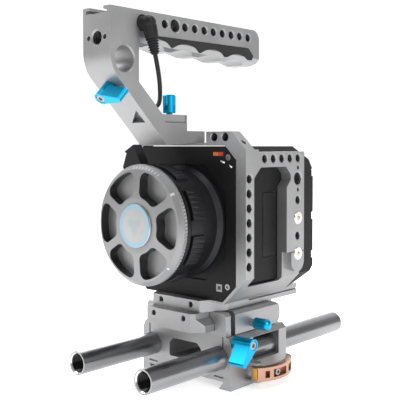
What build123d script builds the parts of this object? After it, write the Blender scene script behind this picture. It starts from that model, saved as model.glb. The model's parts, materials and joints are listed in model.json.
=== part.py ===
from build123d import *
import math
import os

# Cinema camera rig: a box camera in a machined cage, with a top handle, a trigger cable,
# a dovetail plate, two 15 mm rods and a quick-release base clamp.
# Frame: +Z up, the lens looks along -Y, X = 0 is the optical plane.
# The origin is the middle of the base clamp's underside. All sizes are in millimetres.

# ---------------------------------------------------------------- driving dimensions
FIT = 0.05                  # radial clearance of a running fit
GAP = 0.3                   # clearance between bodies that move past each other
WELD = 0.02                 # hairline gap between pieces that are bolted face to face

ROD_RADIUS = 7.5            # 15 mm lightweight support rods
ROD_BORE = 5.6
ROD_PITCH = 60.0            # rod centre to rod centre
ROD_LENGTH = 203.2          # 8 inch rods
ROD_FRONT = -99.3
ROD_Z = 20.0

BASE_HALF = 40.0            # half width of the base clamp and the riser
BASE_FRONT, BASE_REAR = -32.0, 33.0
BASE_TOP = 11.0
DOVETAIL_DEPTH = 5.0
RISER_TOP = 34.0
RECEIVER_HALF = 36.0
RECEIVER_TOP = 49.3
RECEIVER_REAR = 26.0
PLATE_TOP = 57.2            # top of the cage base plate, where the camera stands

LENS_Z = 107.0              # optical axis, 87 mm above the rods
CAM_HALF = 45.65            # 91.3 mm wide camera
CAM_TOP = 156.5
CAM_CHAMFER = 9.3           # upper corners of the camera
CAM_FOOT = 11.2             # lower corners of the camera
CAM_FRONT, CAM_REAR = -34.0, 52.0
WALL = 3.0

CAGE_IN = 46.0
CAGE_OUT = 54.0
CAGE_REAR = 29.0
CAGE_TOP = 153.0            # top edge of the side plates
BRIDGE_TOP = 166.0
BRIDGE_REAR = -25.4
SEAM_Z = 147.4
HOLE_STEP = 9.18            # pitch of the accessory holes

QUARTER_TAP = 2.55          # 1/4-20 tapping radius
EIGHTHS_TAP = 4.0           # 3/8-16 tapping radius

HANDLE_HALF = 12.0
HANDLE_FRONT = -107.5
HANDLE_TOP = 238.6
HANDLE_REAR = 33.0
BAR_BOTTOM = 213.2          # lowest line of the grip bar, at its rear end
BAR_RISE = 4.0              # how much higher that line is at the front end
BAR_SHOULDER = 218.4        # where the bar's sides turn in to its underside
FOOT_TOP = 176.6
HOLE_ROW_Z = 232.6

parts = {}


# ---------------------------------------------------------------- small builders
def block(x0, x1, y0, y1, z0, z1):
    """Box between two corners."""
    return Pos((x0 + x1) / 2, (y0 + y1) / 2, (z0 + z1) / 2) * Box(x1 - x0, y1 - y0, z1 - z0)


def rod(start, direction, radius, length):
    """Solid cylinder from a start point along a direction."""
    base = Plane(origin=start, z_dir=direction)
    return base * Pos(0, 0, length / 2) * Cylinder(radius, length)


def prism_x(points, x0, x1, radius=0.0, corners=None):
    """Outline in (y, z) carried from x0 to x1, with its named corners rounded."""
    return carried(Plane.YZ, points, (1, 0, 0), x0, x1, radius, corners)


def prism_y(points, y0, y1, radius=0.0, corners=None):
    """Outline in (x, z) carried from y0 to y1."""
    return carried(Plane.XZ, points, (0, 1, 0), y0, y1, radius, corners)


def prism_z(points, z0, z1, radius=0.0, corners=None):
    """Outline in (x, y) carried from z0 to z1."""
    return carried(Plane.XY, points, (0, 0, 1), z0, z1, radius, corners)


def carried(plane, points, way, start, stop, radius, corners):
    face = make_face(plane * Polyline(*points, close=True))
    if radius:
        chosen = face.vertices()
        if corners is not None:
            targets = [plane.from_local_coords(Vector(*points[i])) for i in corners]
            chosen = [v for v in chosen if any((Vector(*tuple(v)) - t).length < 0.01 for t in targets)]
        face = fillet(chosen, radius)
    solid = extrude(face, amount=stop - start, dir=way)
    return Pos(*(start * c for c in way)) * solid


def turned(origin, direction, outline):
    """Solid of revolution: outline is (radius, depth along the direction) pairs."""
    ring = make_face(Plane.XZ * Polyline(*outline, close=True))
    return Plane(origin=origin, z_dir=direction) * revolve(ring, axis=Axis.Z)


def hole(start, direction, radius, depth, sink=0.6):
    """Cutter for a drilled hole with a small countersink at its mouth."""
    lip = 0.5
    outline = [(0, -lip), (radius + sink + lip, -lip), (radius, sink), (radius, depth), (0, depth)]
    return turned(start, direction, outline)


def screw(start, direction, head_radius, head_depth, shank_radius, length, hexagon):
    """Socket head screw: the head's top is at the start, the shank runs along the direction."""
    outline = [(0, 0), (head_radius - 0.3, 0), (head_radius, 0.3), (head_radius, head_depth),
               (shank_radius, head_depth), (shank_radius, length), (0, length)]
    socket = Plane(origin=start, z_dir=direction) * extrude(RegularPolygon(hexagon, 6), head_depth * 0.6)
    return turned(start, direction, outline) - socket


def mirror_x(shape):
    return mirror(shape, about=Plane.YZ)


def octagon(half, low, high, chamfer, foot):
    """Corner points (x, z) of the camera's eight-sided outline, with larger chamfers at its foot."""
    return [(half - foot, low), (half, low + foot), (half, high - chamfer), (half - chamfer, high),
            (chamfer - half, high), (-half, high - chamfer), (-half, low + foot), (foot - half, low)]


def add(name, shape):
    parts[name] = shape


# ---------------------------------------------------------------- base clamp
DOVE_NARROW, DOVE_WIDE = 30.0, 34.0
JAW_FRONT = -6.0
JAW_INNER = 25.0
LEVER_PIVOT = (46.0, -13.0)
PIVOT_BARREL = 3.2
PIN_RADIUS = 1.6
LEVER_LOW, LEVER_HIGH = 5.1, 14.0
EAR_LOW, EAR_HIGH = 3.2, 16.0


def base_clamp():
    body = block(-BASE_HALF, BASE_HALF, BASE_FRONT, BASE_REAR, 0, BASE_TOP)
    groove = [(-DOVE_NARROW, -1), (DOVE_NARROW, -1), (DOVE_NARROW, 0), (DOVE_WIDE, DOVETAIL_DEPTH),
              (-DOVE_WIDE, DOVETAIL_DEPTH), (-DOVE_NARROW, 0)]
    body -= prism_y(groove, BASE_FRONT - 1, BASE_REAR + 1)
    jaw_pocket = block(JAW_INNER - 1, BASE_HALF + 1, JAW_FRONT - 0.4, BASE_REAR + 1, -1, 9.0)
    body -= jaw_pocket
    body += pivot_ear(EAR_LOW, LEVER_LOW - GAP)
    for side in (-1, 1):
        body -= block(side * 30 - 4, side * 30 + 4, BASE_FRONT - 1, BASE_FRONT + 1.2, 7.2, 8.4)
    for x, y in RISER_BOLTS:
        body -= rod((x, y, -1), (0, 0, 1), 2.55, BASE_TOP + 2)
        body -= rod((x, y, -1), (0, 0, 1), 4.6, 1 + DOVETAIL_DEPTH + 3.2)
    return body


def pivot_ear(low, high):
    """Rounded ear that holds one end of the lever's pivot pin."""
    px, py = LEVER_PIVOT
    ear = block(BASE_HALF - 1, px, py - PIVOT_BARREL, py + PIVOT_BARREL, low, high)
    ear += rod((px, py, low), (0, 0, 1), PIVOT_BARREL, high - low)
    return ear - rod((px, py, low - 1), (0, 0, 1), PIN_RADIUS, high - low + 2)


RISER_BOLTS = [(-18.0, -22.0), (18.0, -22.0), (-18.0, 22.0), (18.0, 22.0)]


def base_jaw():
    """Sliding jaw that closes the right side of the dovetail groove."""
    y0, y1 = JAW_FRONT, BASE_REAR
    outline = [(DOVE_NARROW, 0), (BASE_HALF - 0.3, 0), (BASE_HALF - 0.3, 8.7), (JAW_INNER, 8.7),
               (JAW_INNER, DOVETAIL_DEPTH + 0.4), (DOVE_WIDE, DOVETAIL_DEPTH + 0.4),
               (DOVE_WIDE, DOVETAIL_DEPTH)]
    return prism_y(outline, y0, y1)


def base_lever():
    """Bowed lever with two windows and a slotted nose, turning on a vertical pivot."""
    px, py = LEVER_PIVOT
    low, high = LEVER_LOW, LEVER_HIGH
    outer = ThreePointArc((52.3, -16.5), (56.8, -3.0), (49.4, 21.0))
    tail = ThreePointArc((49.4, 21.0), (47.0, 22.6), (45.6, 20.0))
    inner = ThreePointArc((45.6, 20.0), (52.4, -1.5), (51.0, -9.0))
    nose = Polyline((51.0, -9.0), (50.0, -11.0), (px, -11.0), (px, -18.4), (51.3, -18.4), (52.3, -16.5))
    bar = Pos(0, 0, low) * extrude(make_face([outer, tail, inner, nose]), high - low, dir=(0, 0, 1))
    bar += rod((px, py, low), (0, 0, 1), PIVOT_BARREL, high - low)
    bar -= rod((px, py, 0), (0, 0, 1), PIN_RADIUS + FIT, 30)
    bar -= block(44, 62, -7.4, 5.6, low + 1.9, high - 1.9)
    bar -= block(44, 62, 9.4, 16.2, low + 1.9, high - 1.9)
    bar -= block(51.4, 62, -13.6, -10.4, low + 2.2, high - 2.2)
    bar -= block(47.7, 51.3, -20, -14.2, low + 2.0, high + 1)
    return bar


def base_lever_button():
    """Gold safety tab held in the front slot of the lever."""
    return block(48.0, 51.0, -19.2, -15.6, LEVER_LOW + 2.3, LEVER_HIGH - 0.1)


def base_group():
    px, py = LEVER_PIVOT
    add("base_clamp", base_clamp())
    add("base_jaw", base_jaw())
    add("base_lever", base_lever())
    add("base_lever_button", base_lever_button())
    add("base_lever_pin", rod((px, py, EAR_LOW), (0, 0, 1), PIN_RADIUS, EAR_HIGH - EAR_LOW))
    middle = (LEVER_LOW + LEVER_HIGH) / 2
    tension = screw((56.2, -3.0, middle), (-1, 0, 0), 2.3, 2.4, 1.2, 5.0, 1.3)
    bridge = block(52.4, 53.7, -7.4 + WELD, 5.6 - WELD, LEVER_LOW + 1.92, LEVER_HIGH - 1.92)
    bridge -= rod((57, -3.0, middle), (-1, 0, 0), 1.2 + WELD, 9)
    add("base_lever_bridge", bridge)
    add("base_lever_screw", tension)


# ---------------------------------------------------------------- riser, rods and rod levers
ROD_X = ROD_PITCH / 2
SLIT_X = 33.4
SLIT_WIDE = 1.0
ROD_LEVER_Y, ROD_LEVER_Z = -27.6, 31.2
ROD_SCREW = 2.0
HUB_RADIUS = 4.2
SIDE_CUT_FRONT, SIDE_CUT_REAR = -9.0, 19.5


def riser_block():
    outline = [(-BASE_HALF, BASE_TOP + WELD), (BASE_HALF, BASE_TOP + WELD), (BASE_HALF, RISER_TOP - 3),
               (BASE_HALF - 3, RISER_TOP), (3 - BASE_HALF, RISER_TOP), (-BASE_HALF, RISER_TOP - 3)]
    body = prism_y(outline, BASE_FRONT, BASE_REAR - 5)
    pocket = [(-14.5, 14.0), (14.5, 14.0), (14.5, 23.0), (11.0, 26.5), (-11.0, 26.5), (-14.5, 23.0)]
    body -= prism_y(pocket, BASE_FRONT - 1, BASE_REAR + 1, 2.0)
    for side in (-1, 1):
        x = side * ROD_X
        body -= rod((x, BASE_FRONT - 1, ROD_Z), (0, 1, 0), ROD_RADIUS + FIT, 80)
        body -= block(side * SLIT_X - SLIT_WIDE / 2, side * SLIT_X + SLIT_WIDE / 2,
                      BASE_FRONT - 1, SIDE_CUT_FRONT + 1, ROD_Z, RISER_TOP + 1)
        cut = [(ROD_X + 3, ROD_Z - 5.4), (BASE_HALF + 1, ROD_Z - 5.4), (BASE_HALF + 1, RISER_TOP - 3.2),
               (ROD_X - 6, RISER_TOP - 3.2), (ROD_X - 6, ROD_Z)]
        window = prism_y(cut, SIDE_CUT_FRONT, SIDE_CUT_REAR)
        body -= window if side > 0 else mirror_x(window)
    for x, y in RISER_BOLTS:
        body -= rod((x, y, BASE_TOP - 1), (0, 0, 1), 2.1, 3.9)
    body -= rod((-50, ROD_LEVER_Y, ROD_LEVER_Z), (1, 0, 0), ROD_SCREW + FIT, 100)
    nut_seat = Plane(origin=(-BASE_HALF - 1, ROD_LEVER_Y, ROD_LEVER_Z), z_dir=(1, 0, 0))
    body -= nut_seat * extrude(RegularPolygon(NUT_RADIUS + WELD, 6), 4.0)
    return body + pivot_ear(LEVER_HIGH + GAP, EAR_HIGH)


def support_rod(side):
    tube = rod((side * ROD_X, ROD_FRONT, ROD_Z), (0, 1, 0), ROD_RADIUS, ROD_LENGTH)
    tube -= rod((side * ROD_X, ROD_FRONT - 1, ROD_Z), (0, 1, 0), ROD_BORE, ROD_LENGTH + 2)
    for y, way in ((ROD_FRONT, 1), (ROD_FRONT + ROD_LENGTH, -1)):
        tube -= hole((side * ROD_X, y, ROD_Z), (0, way, 0), ROD_BORE, 1.5, 1.0)
    return tube


def wing_lever(length, blade_width, tip):
    """Lever knob along local +Z: a round hub and a flat blade that tapers to a rounded tip."""
    reach = math.hypot(*tip)
    across = (-tip[1] / reach, tip[0] / reach)
    root, end = HUB_RADIUS - 0.3, BLADE_TIP
    corners = [(root * across[0], root * across[1]), (-root * across[0], -root * across[1]),
               (tip[0] - end * across[0], tip[1] - end * across[1]),
               (tip[0] + end * across[0], tip[1] + end * across[1])]
    blade = extrude(make_face(Polyline(*corners, close=True)), blade_width, dir=(0, 0, 1))
    blade += rod((tip[0], tip[1], 0), (0, 0, 1), end, blade_width)
    lever = rod((0, 0, 0), (0, 0, 1), HUB_RADIUS, length) + Pos(0, 0, length - blade_width) * blade
    seat = rod((0, 0, length - 2.4), (0, 0, 1), SCREW_HEAD + FIT, 5)
    return lever - seat - rod((0, 0, -1), (0, 0, 1), ROD_SCREW + FIT, length + 2)


BLADE_TIP = 1.9
SCREW_HEAD = 3.0
NUT_RADIUS = 4.0
ROD_LEVER_LENGTH = 15.0


def rod_lever():
    lever = wing_lever(ROD_LEVER_LENGTH, 12.0, (-8.6, -10.6))
    place = Plane(origin=(BASE_HALF + GAP, ROD_LEVER_Y, ROD_LEVER_Z), x_dir=(0, 1, 0), z_dir=(1, 0, 0))
    return place * lever


def rod_lever_screw():
    """Long screw that draws both rod jaws together and ends in the nut on the left."""
    start = (BASE_HALF + GAP + ROD_LEVER_LENGTH - 0.3, ROD_LEVER_Y, ROD_LEVER_Z)
    return screw(start, (-1, 0, 0), SCREW_HEAD, 2.0, ROD_SCREW, 94.0, 1.5)


def rod_clamp_nut():
    place = Plane(origin=(-BASE_HALF, ROD_LEVER_Y, ROD_LEVER_Z), z_dir=(1, 0, 0))
    nut = place * extrude(RegularPolygon(NUT_RADIUS, 6), 2.9)
    return nut - rod((-BASE_HALF - 1, ROD_LEVER_Y, ROD_LEVER_Z), (1, 0, 0), ROD_SCREW + FIT, 6)


def riser_group():
    add("riser_block", riser_block())
    bolts = [screw((x, y, DOVETAIL_DEPTH + 0.4), (0, 0, 1), 4.2, 2.6, 2.05, 8.0, 1.7) for x,
             y in RISER_BOLTS]
    add("riser_bolts", Compound(children=bolts))
    for side, name in ((1, "right"), (-1, "left")):
        add("rod_" + name, support_rod(side))
    add("rod_lever", rod_lever())
    add("rod_lever_screw", rod_lever_screw())
    add("rod_clamp_nut", rod_clamp_nut())


# ---------------------------------------------------------------- dovetail receiver and thumb screw
FLOOR_Z = 37.4
DOVE_FOOT = 26.4            # half width of the sliding dovetail at its foot
DOVE_NECK = 22.0
KNEE_LOW, KNEE_HIGH = 41.7, 46.1
NOTCH_FRONT, NOTCH_REAR = -27.0, -22.5
THUMB_Y, THUMB_Z = -6.0, 39.6
THUMB_HEAD = 3.8
SHANK = 2.45


def receiver_section(outer):
    """Right half of the receiver's section: floor and the hooked side wall."""
    return [(0, RISER_TOP + WELD), (outer, RISER_TOP + WELD), (outer, RECEIVER_TOP - 2),
            (outer - 2, RECEIVER_TOP),
            (DOVE_NECK + GAP, RECEIVER_TOP), (DOVE_NECK + GAP, KNEE_HIGH), (DOVE_FOOT + GAP, KNEE_LOW),
            (DOVE_FOOT + GAP, FLOOR_Z - GAP), (0, FLOOR_Z - GAP)]


def receiver_block():
    half = prism_y(receiver_section(RECEIVER_HALF), BASE_FRONT, RECEIVER_REAR)
    body = half + mirror_x(half)
    for side in (-1, 1):
        low, high = sorted((side * (RECEIVER_HALF + 1), side * (DOVE_FOOT + 1)))
        body -= block(low, high, NOTCH_FRONT, NOTCH_REAR, RISER_TOP - 1, RECEIVER_TOP + 1)
    body -= block(JAW_LINE, RECEIVER_HALF + 1, NOTCH_FRONT, RECEIVER_REAR + 1, RISER_TOP - 1,
                  RECEIVER_TOP + 1)
    body -= rod((JAW_LINE + 1, THUMB_Y, THUMB_Z), (-1, 0, 0), SHANK + FIT, 8)
    corner = rod((-50, RECEIVER_REAR - 7, RECEIVER_TOP - 7), (1, 0, 0), 7, 100)
    rear = block(-50, 50, RECEIVER_REAR - 7, RECEIVER_REAR + 1, RECEIVER_TOP - 7,
                 RECEIVER_TOP + 1) - corner
    return body - rear


JAW_LINE = 22.2


def receiver_jaw():
    """Clamp jaw on the right side; the thumb screw pulls it onto the dovetail."""
    half = prism_y(receiver_section(RECEIVER_HALF), NOTCH_REAR, RECEIVER_REAR)
    jaw = half & block(DOVE_FOOT + GAP, RECEIVER_HALF + 1, -60, 60, RISER_TOP + GAP, RECEIVER_TOP + 1)
    hook = half & block(DOVE_NECK + GAP, DOVE_FOOT + GAP + 0.1, -60, 60, KNEE_LOW, RECEIVER_TOP + 1)
    jaw = jaw + hook
    jaw -= rod((DOVE_NECK, THUMB_Y, THUMB_Z), (1, 0, 0), SHANK + FIT, 20)
    for z, up in ((RECEIVER_TOP, -1), (RISER_TOP + GAP, 1)):
        low, high = sorted((z - up, z + up * 6))
        tip = block(10, 50, RECEIVER_REAR - 6, RECEIVER_REAR + 1, low, high)
        jaw -= tip - rod((10, RECEIVER_REAR - 6, z + up * 6), (1, 0, 0), 6, 40)
    return jaw


def thumb_knob(start, direction, radius, length, dome):
    """Round thumb screw head with two milled finger flats and a domed end."""
    steps = 5
    edge = [(radius * math.cos(a), length - dome + dome * math.sin(a))
            for a in (i * math.pi / 2 / steps for i in range(steps))]
    outline = [(0, 0), (radius - 0.4, 0), (radius, 0.4)] + edge + [(0, length)]
    return turned(start, direction, outline)


def receiver_group():
    add("receiver_block", receiver_block())
    add("receiver_jaw", receiver_jaw())
    head_start = RECEIVER_HALF + 3.6
    head = thumb_knob((head_start, THUMB_Y, THUMB_Z), (1, 0, 0), THUMB_HEAD, 12.0, 2.4)
    socket = rod((head_start - 1, THUMB_Y, THUMB_Z), (1, 0, 0), SHANK, 7)
    for turn in range(6):
        angle = turn * math.pi / 3
        groove = (head_start - 1, THUMB_Y + 4.3 * math.cos(angle), THUMB_Z + 4.3 * math.sin(angle))
        head -= rod(groove, (1, 0, 0), 1.0, 10.5)
    add("plate_thumb_knob", head - socket)
    add("plate_thumb_shank", rod((28.0, THUMB_Y, THUMB_Z), (1, 0, 0), SHANK, head_start + 6 - 28.0))


# ---------------------------------------------------------------- sliding plate and cage base plate
SLIDE_FRONT, SLIDE_REAR = -48.0, 35.0
NOSE_HALF = 19.5
BASE_PLATE_HALF = 30.0
BASE_PLATE_FRONT, BASE_PLATE_REAR = -41.0, 55.5
PIN_HOLE_X = 13.45


def sliding_plate():
    outline = [(-DOVE_FOOT, FLOOR_Z), (DOVE_FOOT, FLOOR_Z), (DOVE_FOOT, KNEE_LOW - 0.1),
               (DOVE_NECK, KNEE_HIGH - 0.1),
               (DOVE_NECK, 49.6), (-DOVE_NECK, 49.6), (-DOVE_NECK, KNEE_HIGH - 0.1),
               (-DOVE_FOOT, KNEE_LOW - 0.1)]
    body = prism_y(outline, SLIDE_FRONT, SLIDE_REAR)
    depth = DOVE_FOOT - NOSE_HALF
    for side in (-1, 1):
        wedge = [(side * NOSE_HALF, SLIDE_FRONT - 1), (side * 40, SLIDE_FRONT - 1),
                 (side * 40, SLIDE_FRONT + depth),
                 (side * DOVE_FOOT, SLIDE_FRONT + depth), (side * NOSE_HALF, SLIDE_FRONT)]
        body -= prism_z(wedge, 30, 60)
        body -= hole((side * PIN_HOLE_X, SLIDE_FRONT, 46.0), (0, 1, 0), 1.7, 8, 0.4)
    body -= block(-DOVE_FOOT - 1, -10.5, SLIDE_FRONT - 1, SLIDE_FRONT + 3.5, FLOOR_Z - 1, 41.6)
    return body


def cage_base_plate():
    outline = [(-21.2, BASE_PLATE_FRONT), (21.2, BASE_PLATE_FRONT), (BASE_PLATE_HALF, -23.0),
               (BASE_PLATE_HALF, BASE_PLATE_REAR), (-BASE_PLATE_HALF, BASE_PLATE_REAR),
               (-BASE_PLATE_HALF, -23.0)]
    body = prism_z(outline, 49.6 + WELD, PLATE_TOP, 1.2)
    for side in (-1, 1):
        body -= hole((side * PIN_HOLE_X, BASE_PLATE_FRONT, 53.9), (0, 1, 0), 1.7, 8, 0.4)
        low, high = sorted((side * BASE_PLATE_HALF + side, side * (BASE_PLATE_HALF - 1.6)))
        body -= block(low, high, -1, BASE_PLATE_REAR + 1, 52.7, 53.9)
        body -= rod((0, side * 20 + 8, 40), (0, 0, 1), 3.2, 30)
    return body


# ---------------------------------------------------------------- cage
COLUMN_FRONT_Y = -30.3
COLUMN_REAR_Y = 22.0
SLOPE_TOP = 73.4
TONGUE_HALF = 7.5
WINDOW_LOW = 67.0
TONGUE_END = 72.0
HANDLE_SLOT = 21.0
WEB_TOP = 158.8
RING_SCREW_Z = (108.4, 84.3)
RING_RADIUS = 4.4


def cage_side_right():
    wall = [(CAGE_OUT, SLOPE_TOP), (CAGE_OUT, CAGE_TOP), (CAGE_IN, CAGE_TOP), (CAGE_IN, 68.15),
            (34.9, 57.05),
            (BASE_PLATE_HALF + WELD, 57.05), (BASE_PLATE_HALF + WELD, 55.5), (36.0, 55.9), (39.2, 58.6)]
    body = prism_y(wall, CAM_FRONT, CAGE_REAR)
    window = [(-25.8, WINDOW_LOW), (9.2, WINDOW_LOW), (9.2, 129.6), (13.6, 134.0), (13.6, 138.0),
              (8.0, 143.2),
              (-19.0, 143.2), (-25.8, 136.4)]
    body -= prism_x(window, 37, CAGE_OUT + 1, 2.4, [0, 1, 2, 3, 4, 5, 6, 7])
    body -= block(CAGE_OUT - 4, CAGE_OUT + 1, 9.2, CAGE_REAR + 1, 60, TONGUE_END + 14)
    tongue = block(CAGE_IN, CAGE_OUT, COLUMN_REAR_Y - TONGUE_HALF, CAGE_REAR, TONGUE_END + 7.2,
                   SLOPE_TOP + 12)
    tongue += rod((CAGE_IN, COLUMN_REAR_Y - 0.25, TONGUE_END + 7.2), (1, 0, 0), 7.25, CAGE_OUT - CAGE_IN)
    body += tongue
    body -= shoulder(WELD, CAGE_IN - 1, CAGE_OUT + 1)
    way = (-1, 0, 0)
    for i in range(7):
        body -= hole((CAGE_OUT, COLUMN_FRONT_Y, 136.2 - i * HOLE_STEP), way, QUARTER_TAP, 9)
    for i in range(5):
        body -= hole((CAGE_OUT, -14.6 + i * HOLE_STEP, 148.6), way, QUARTER_TAP, 9)
    body -= hole((CAGE_OUT, COLUMN_REAR_Y, 134.9), way, EIGHTHS_TAP, 9, 0.8)
    for z in (142.2, 127.4):
        body -= hole((CAGE_OUT, COLUMN_REAR_Y, z), way, 1.3, 5, 0.2)
    for z in (120.4, 96.3):
        body -= hole((CAGE_OUT, COLUMN_REAR_Y, z), way, QUARTER_TAP, 9)
    for z in RING_SCREW_Z:
        body -= rod((CAGE_OUT + 1, COLUMN_REAR_Y, z), way, RING_RADIUS + FIT, 4.5)
        body -= rod((CAGE_OUT + 1, COLUMN_REAR_Y, z), way, 2.0 + FIT, 12)
    return body


def shoulder(grow, x0, x1):
    """Seat of the bridge on the side plate: open at the front, with one rounded lower corner."""
    rear, low = -21.2 + grow, SEAM_Z - grow
    outline = [(CAM_FRONT - 1, low), (rear, low), (rear, CAGE_TOP + 20), (CAM_FRONT - 1, CAGE_TOP + 20)]
    return prism_x(outline, x0, x1, 3.0, [1])


def cage_top_bridge():
    """Front arch of the cage: raised blocks, a channel for the handle, a shoulder and a hooked left end."""
    inner = CAM_TOP + 0.5
    section = [(CAGE_OUT, SEAM_Z), (CAGE_OUT, 154.6), (42.0, BRIDGE_TOP), (-39.6, BRIDGE_TOP), (-41.6, 162.0),
               (-41.6, 152.3), (-36.9, inner), (36.9, inner), (CAGE_IN, 148.0), (CAGE_IN, SEAM_Z)]
    body = prism_y(section, CAM_FRONT, BRIDGE_REAR)
    body -= block(-HANDLE_SLOT, HANDLE_SLOT, CAM_FRONT - 1, BRIDGE_REAR + 1, WEB_TOP, BRIDGE_TOP + 1)
    body += block(CAGE_IN + WELD, CAGE_OUT, CAM_FRONT, -21.2, SEAM_Z, 154.6) & shoulder(0, 40, 60)
    body -= hole((49.0, -29.8, 159.4), (-0.69, 0, -0.724), 1.9, 4.0, 0.4)
    for x in (-36.7, -27.5, 27.5, 36.7):
        body -= hole((x, CAM_FRONT, 162.4), (0, 1, 0), QUARTER_TAP, 7)
    for x in (-7, 7):
        body -= rod((x, -30.0, 156), (0, 0, 1), 1.6 + FIT, 10)
    return body


def ring_screws():
    """The two large screws of the rear column."""
    way = (-1, 0, 0)
    return Compound(children=[screw((CAGE_OUT + 0.5, COLUMN_REAR_Y, z), way, RING_RADIUS, 2.0, 2.0, 8.2, 1.5)
                              for z in RING_SCREW_Z])


def bridge_screws():
    """Screws that hold the handle's tongue down in the channel of the bridge."""
    return Compound(children=[screw((x, -30.0, 157.05), (0, 0, 1), 1.62, 0.8, 1.6, 7.0,
                                    0.9) for x in (-7, 7)])


def cage_group():
    add("sliding_plate", sliding_plate())
    add("cage_base_plate", cage_base_plate())
    add("cage_side_right", cage_side_right())
    add("cage_top_bridge", cage_top_bridge())
    add("cage_ring_screws", ring_screws())
    add("bridge_screws", bridge_screws())


# ---------------------------------------------------------------- camera
PLATE_THICK = 5.0
HOUSING_FRONT = 30.0
MOUNT_RADIUS = 31.0
THROAT = 27.0
SEAT_RADIUS = 31.0
BODY_LOW = PLATE_TOP + WELD
CARD_DOOR = (-6.0, 8.0, 84.0, 126.0)
BUTTON_Y = -20.6
BUTTON_ZS = (133.0, 122.5, 111.0, 99.0)
RECORD_Z = 78.6
BUTTON_RADIUS = 1.9
RECORD_RADIUS = 3.0
PLATE_SCREWS = [(39.2, 149.6), (-39.2, 149.6), (38.6, 67.2), (-38.6, 67.2)]


def front_plate():
    shape = octagon(CAM_HALF, BODY_LOW, CAM_TOP, CAM_CHAMFER, CAM_FOOT)
    body = prism_y(shape, CAM_FRONT, CAM_FRONT + PLATE_THICK)
    recess = octagon(37.5, LENS_Z - 37.5, LENS_Z + 37.5, 17.0, 17.0)
    body -= prism_y(recess, CAM_FRONT - 1, CAM_FRONT + 1.2)
    body -= rod((0, CAM_FRONT - 1, LENS_Z), (0, 1, 0), THROAT + WELD, 20)
    for x, z in PLATE_SCREWS:
        body -= rod((x, CAM_FRONT - 1, z), (0, 1, 0), 2.3, 3.2)
        body -= rod((x, CAM_FRONT - 1, z), (0, 1, 0), 1.3, 12)
    return body


def body_shell():
    outer = prism_y(octagon(CAM_HALF, BODY_LOW, CAM_TOP, CAM_CHAMFER, CAM_FOOT),
                    CAM_FRONT + PLATE_THICK + WELD, HOUSING_FRONT)
    inner = octagon(CAM_HALF - WALL, BODY_LOW + WALL, CAM_TOP - WALL, CAM_CHAMFER, CAM_FOOT)
    shell = outer - prism_y(inner, CAM_FRONT, HOUSING_FRONT + 1)
    for x, z in PLATE_SCREWS:
        boss = rod((x * 0.985, CAM_FRONT + PLATE_THICK + WELD, z), (0, 1, 0), 3.4, 9)
        shell += boss & outer
        shell -= rod((x, CAM_FRONT + PLATE_THICK - 1, z), (0, 1, 0), 1.3, 8)
    y0, y1, z0, z1 = CARD_DOOR
    shell -= block(CAM_HALF - 1.5, CAM_HALF + 1, y0 - 0.3, y1 + 0.6, z0 - 0.3, z1 + 0.3)
    shell -= block(CAM_HALF - 2.5, CAM_HALF + 1, y1 - 2.6, y1 + 0.6, z0 - 0.3, z1 + 0.3)
    shell -= block(30, CAM_HALF, y0 + 3, y1 - 4, z0 + 5, z1 - 5)
    shell -= rod((CAM_HALF - 0.9, y1 - 0.9, z0 - 2.5), (0, 0, 1), 0.6, z1 - z0 + 5)
    for z in BUTTON_ZS:
        shell -= rod((30, BUTTON_Y, z), (1, 0, 0), BUTTON_RADIUS + GAP, 20)
    shell -= rod((30, BUTTON_Y, RECORD_Z), (1, 0, 0), RECORD_RADIUS + GAP, 20)
    shell -= rod((-CAM_HALF - 1, PORT_Y, PORT_Z), (1, 0, 0), PORT_RADIUS + FIT, 12)
    return shell


PORT_Y, PORT_Z, PORT_RADIUS = -6.0, 122.0, 4.6


def card_door():
    y0, y1, z0, z1 = CARD_DOOR
    door = block(CAM_HALF - 1.5 + GAP, CAM_HALF + 0.1, y0, y1, z0, z1)
    scoop = Pos(CAM_HALF + 1.6, y0 + 1.6, (z0 + z1) / 2) * Cylinder(2.1, 26)
    hinge_line = rod((CAM_HALF - 0.9, y1 - 0.9, z0 - 1), (0, 0, 1), 0.62, z1 - z0 + 2)
    return door - scoop - hinge_line


def camera_button(y, z, radius):
    stem = rod((CAM_HALF - WALL - 1.6, y, z), (1, 0, 0), radius, WALL + 1.6 + 0.35)
    flange = rod((CAM_HALF - WALL - 1.6, y, z), (1, 0, 0), radius + 1.0, 1.0)
    return stem + flange


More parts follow.
